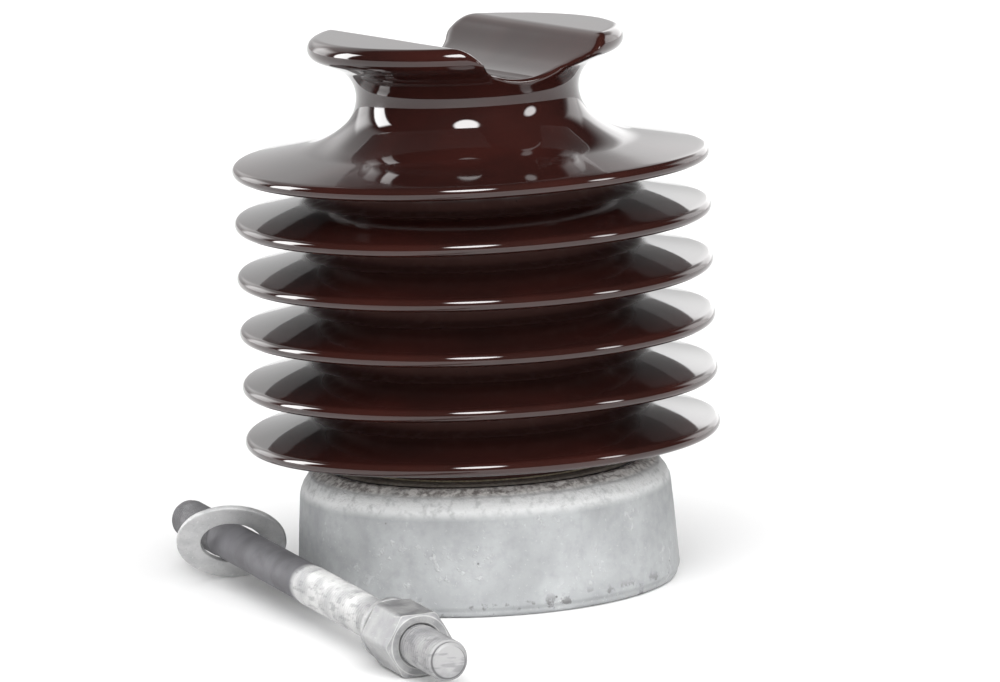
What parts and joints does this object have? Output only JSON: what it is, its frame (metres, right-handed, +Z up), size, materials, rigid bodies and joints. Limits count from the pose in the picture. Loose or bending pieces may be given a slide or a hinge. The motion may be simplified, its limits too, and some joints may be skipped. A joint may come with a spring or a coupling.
{
  "type": "porcelain line post insulator",
  "caption": "Brown glazed post insulator with stacked sheds, a tie groove and wire saddle on top, a cemented iron base, and its loose threaded mounting stud with nut and washers.",
  "frame": {"origin": "middle of the whole kit's footprint, on the surface that the base and the stud set rest on; the insulator's own axis stands at X 16.3 mm, Y 28.15 mm", "axes": "+Z up along the insulator's axis, Y along the wire saddle, -Y towards the end of the stud that carries the nut"},
  "size_m": [0.2226, 0.2844, 0.222],
  "materials": {
    "glaze": "chocolate brown porcelain glaze, mirror gloss",
    "grit": "crushed porcelain grit",
    "bitumen": "bituminous paint, satin",
    "cement": "set Portland cement, matt",
    "cork": "granulated cork, matt",
    "base_iron": "hot-dip galvanised casting, mottled matt grey with pits",
    "stud_steel": "dull galvanised steel, brighter on the threads",
    "nut_steel": "hot-dip galvanised steel, satin"
  },
  "bodies": {
    "insulator": {"porcelain_body": "glaze", "sand_band": "grit", "bitumen_coat": "bitumen", "cement_ring": "cement", "cork_disc": "cork", "base_cap": "base_iron"},
    "stud": {"stud": "stud_steel"},
    "flat_washer": {"flat_washer": "nut_steel"},
    "spring_washer": {"spring_washer": "nut_steel"},
    "hex_nut": {"hex_nut": "nut_steel"}
  },
  "joints": [
    {"name": "stud_draw_out", "type": "slide", "parent": "insulator", "child": "stud", "axis": [-0.9885, 0.1513, 0], "range_m": [0, 0.15]},
    {"name": "flat_washer_slide", "type": "slide", "parent": "stud", "child": "flat_washer", "axis": [0.1512, 0.9881, 0.027], "range_m": [-0.01, 0.045]},
    {"name": "spring_washer_slide", "type": "slide", "parent": "stud", "child": "spring_washer", "axis": [-0.1512, -0.9881, -0.027], "range_m": [-0.0281, 0.0281]},
    {"name": "nut_turn", "type": "hinge", "parent": "spring_washer", "child": "hex_nut", "pos_m": [-0.09571, -0.09892, 0.01261], "axis": [-0.1512, -0.9881, -0.027], "range_deg": [-5040, 5040]}
  ],
  "couplings": [
    {"joint": "spring_washer_slide", "follows": "nut_turn", "m_per_rad": 0.00031831}
  ]
}
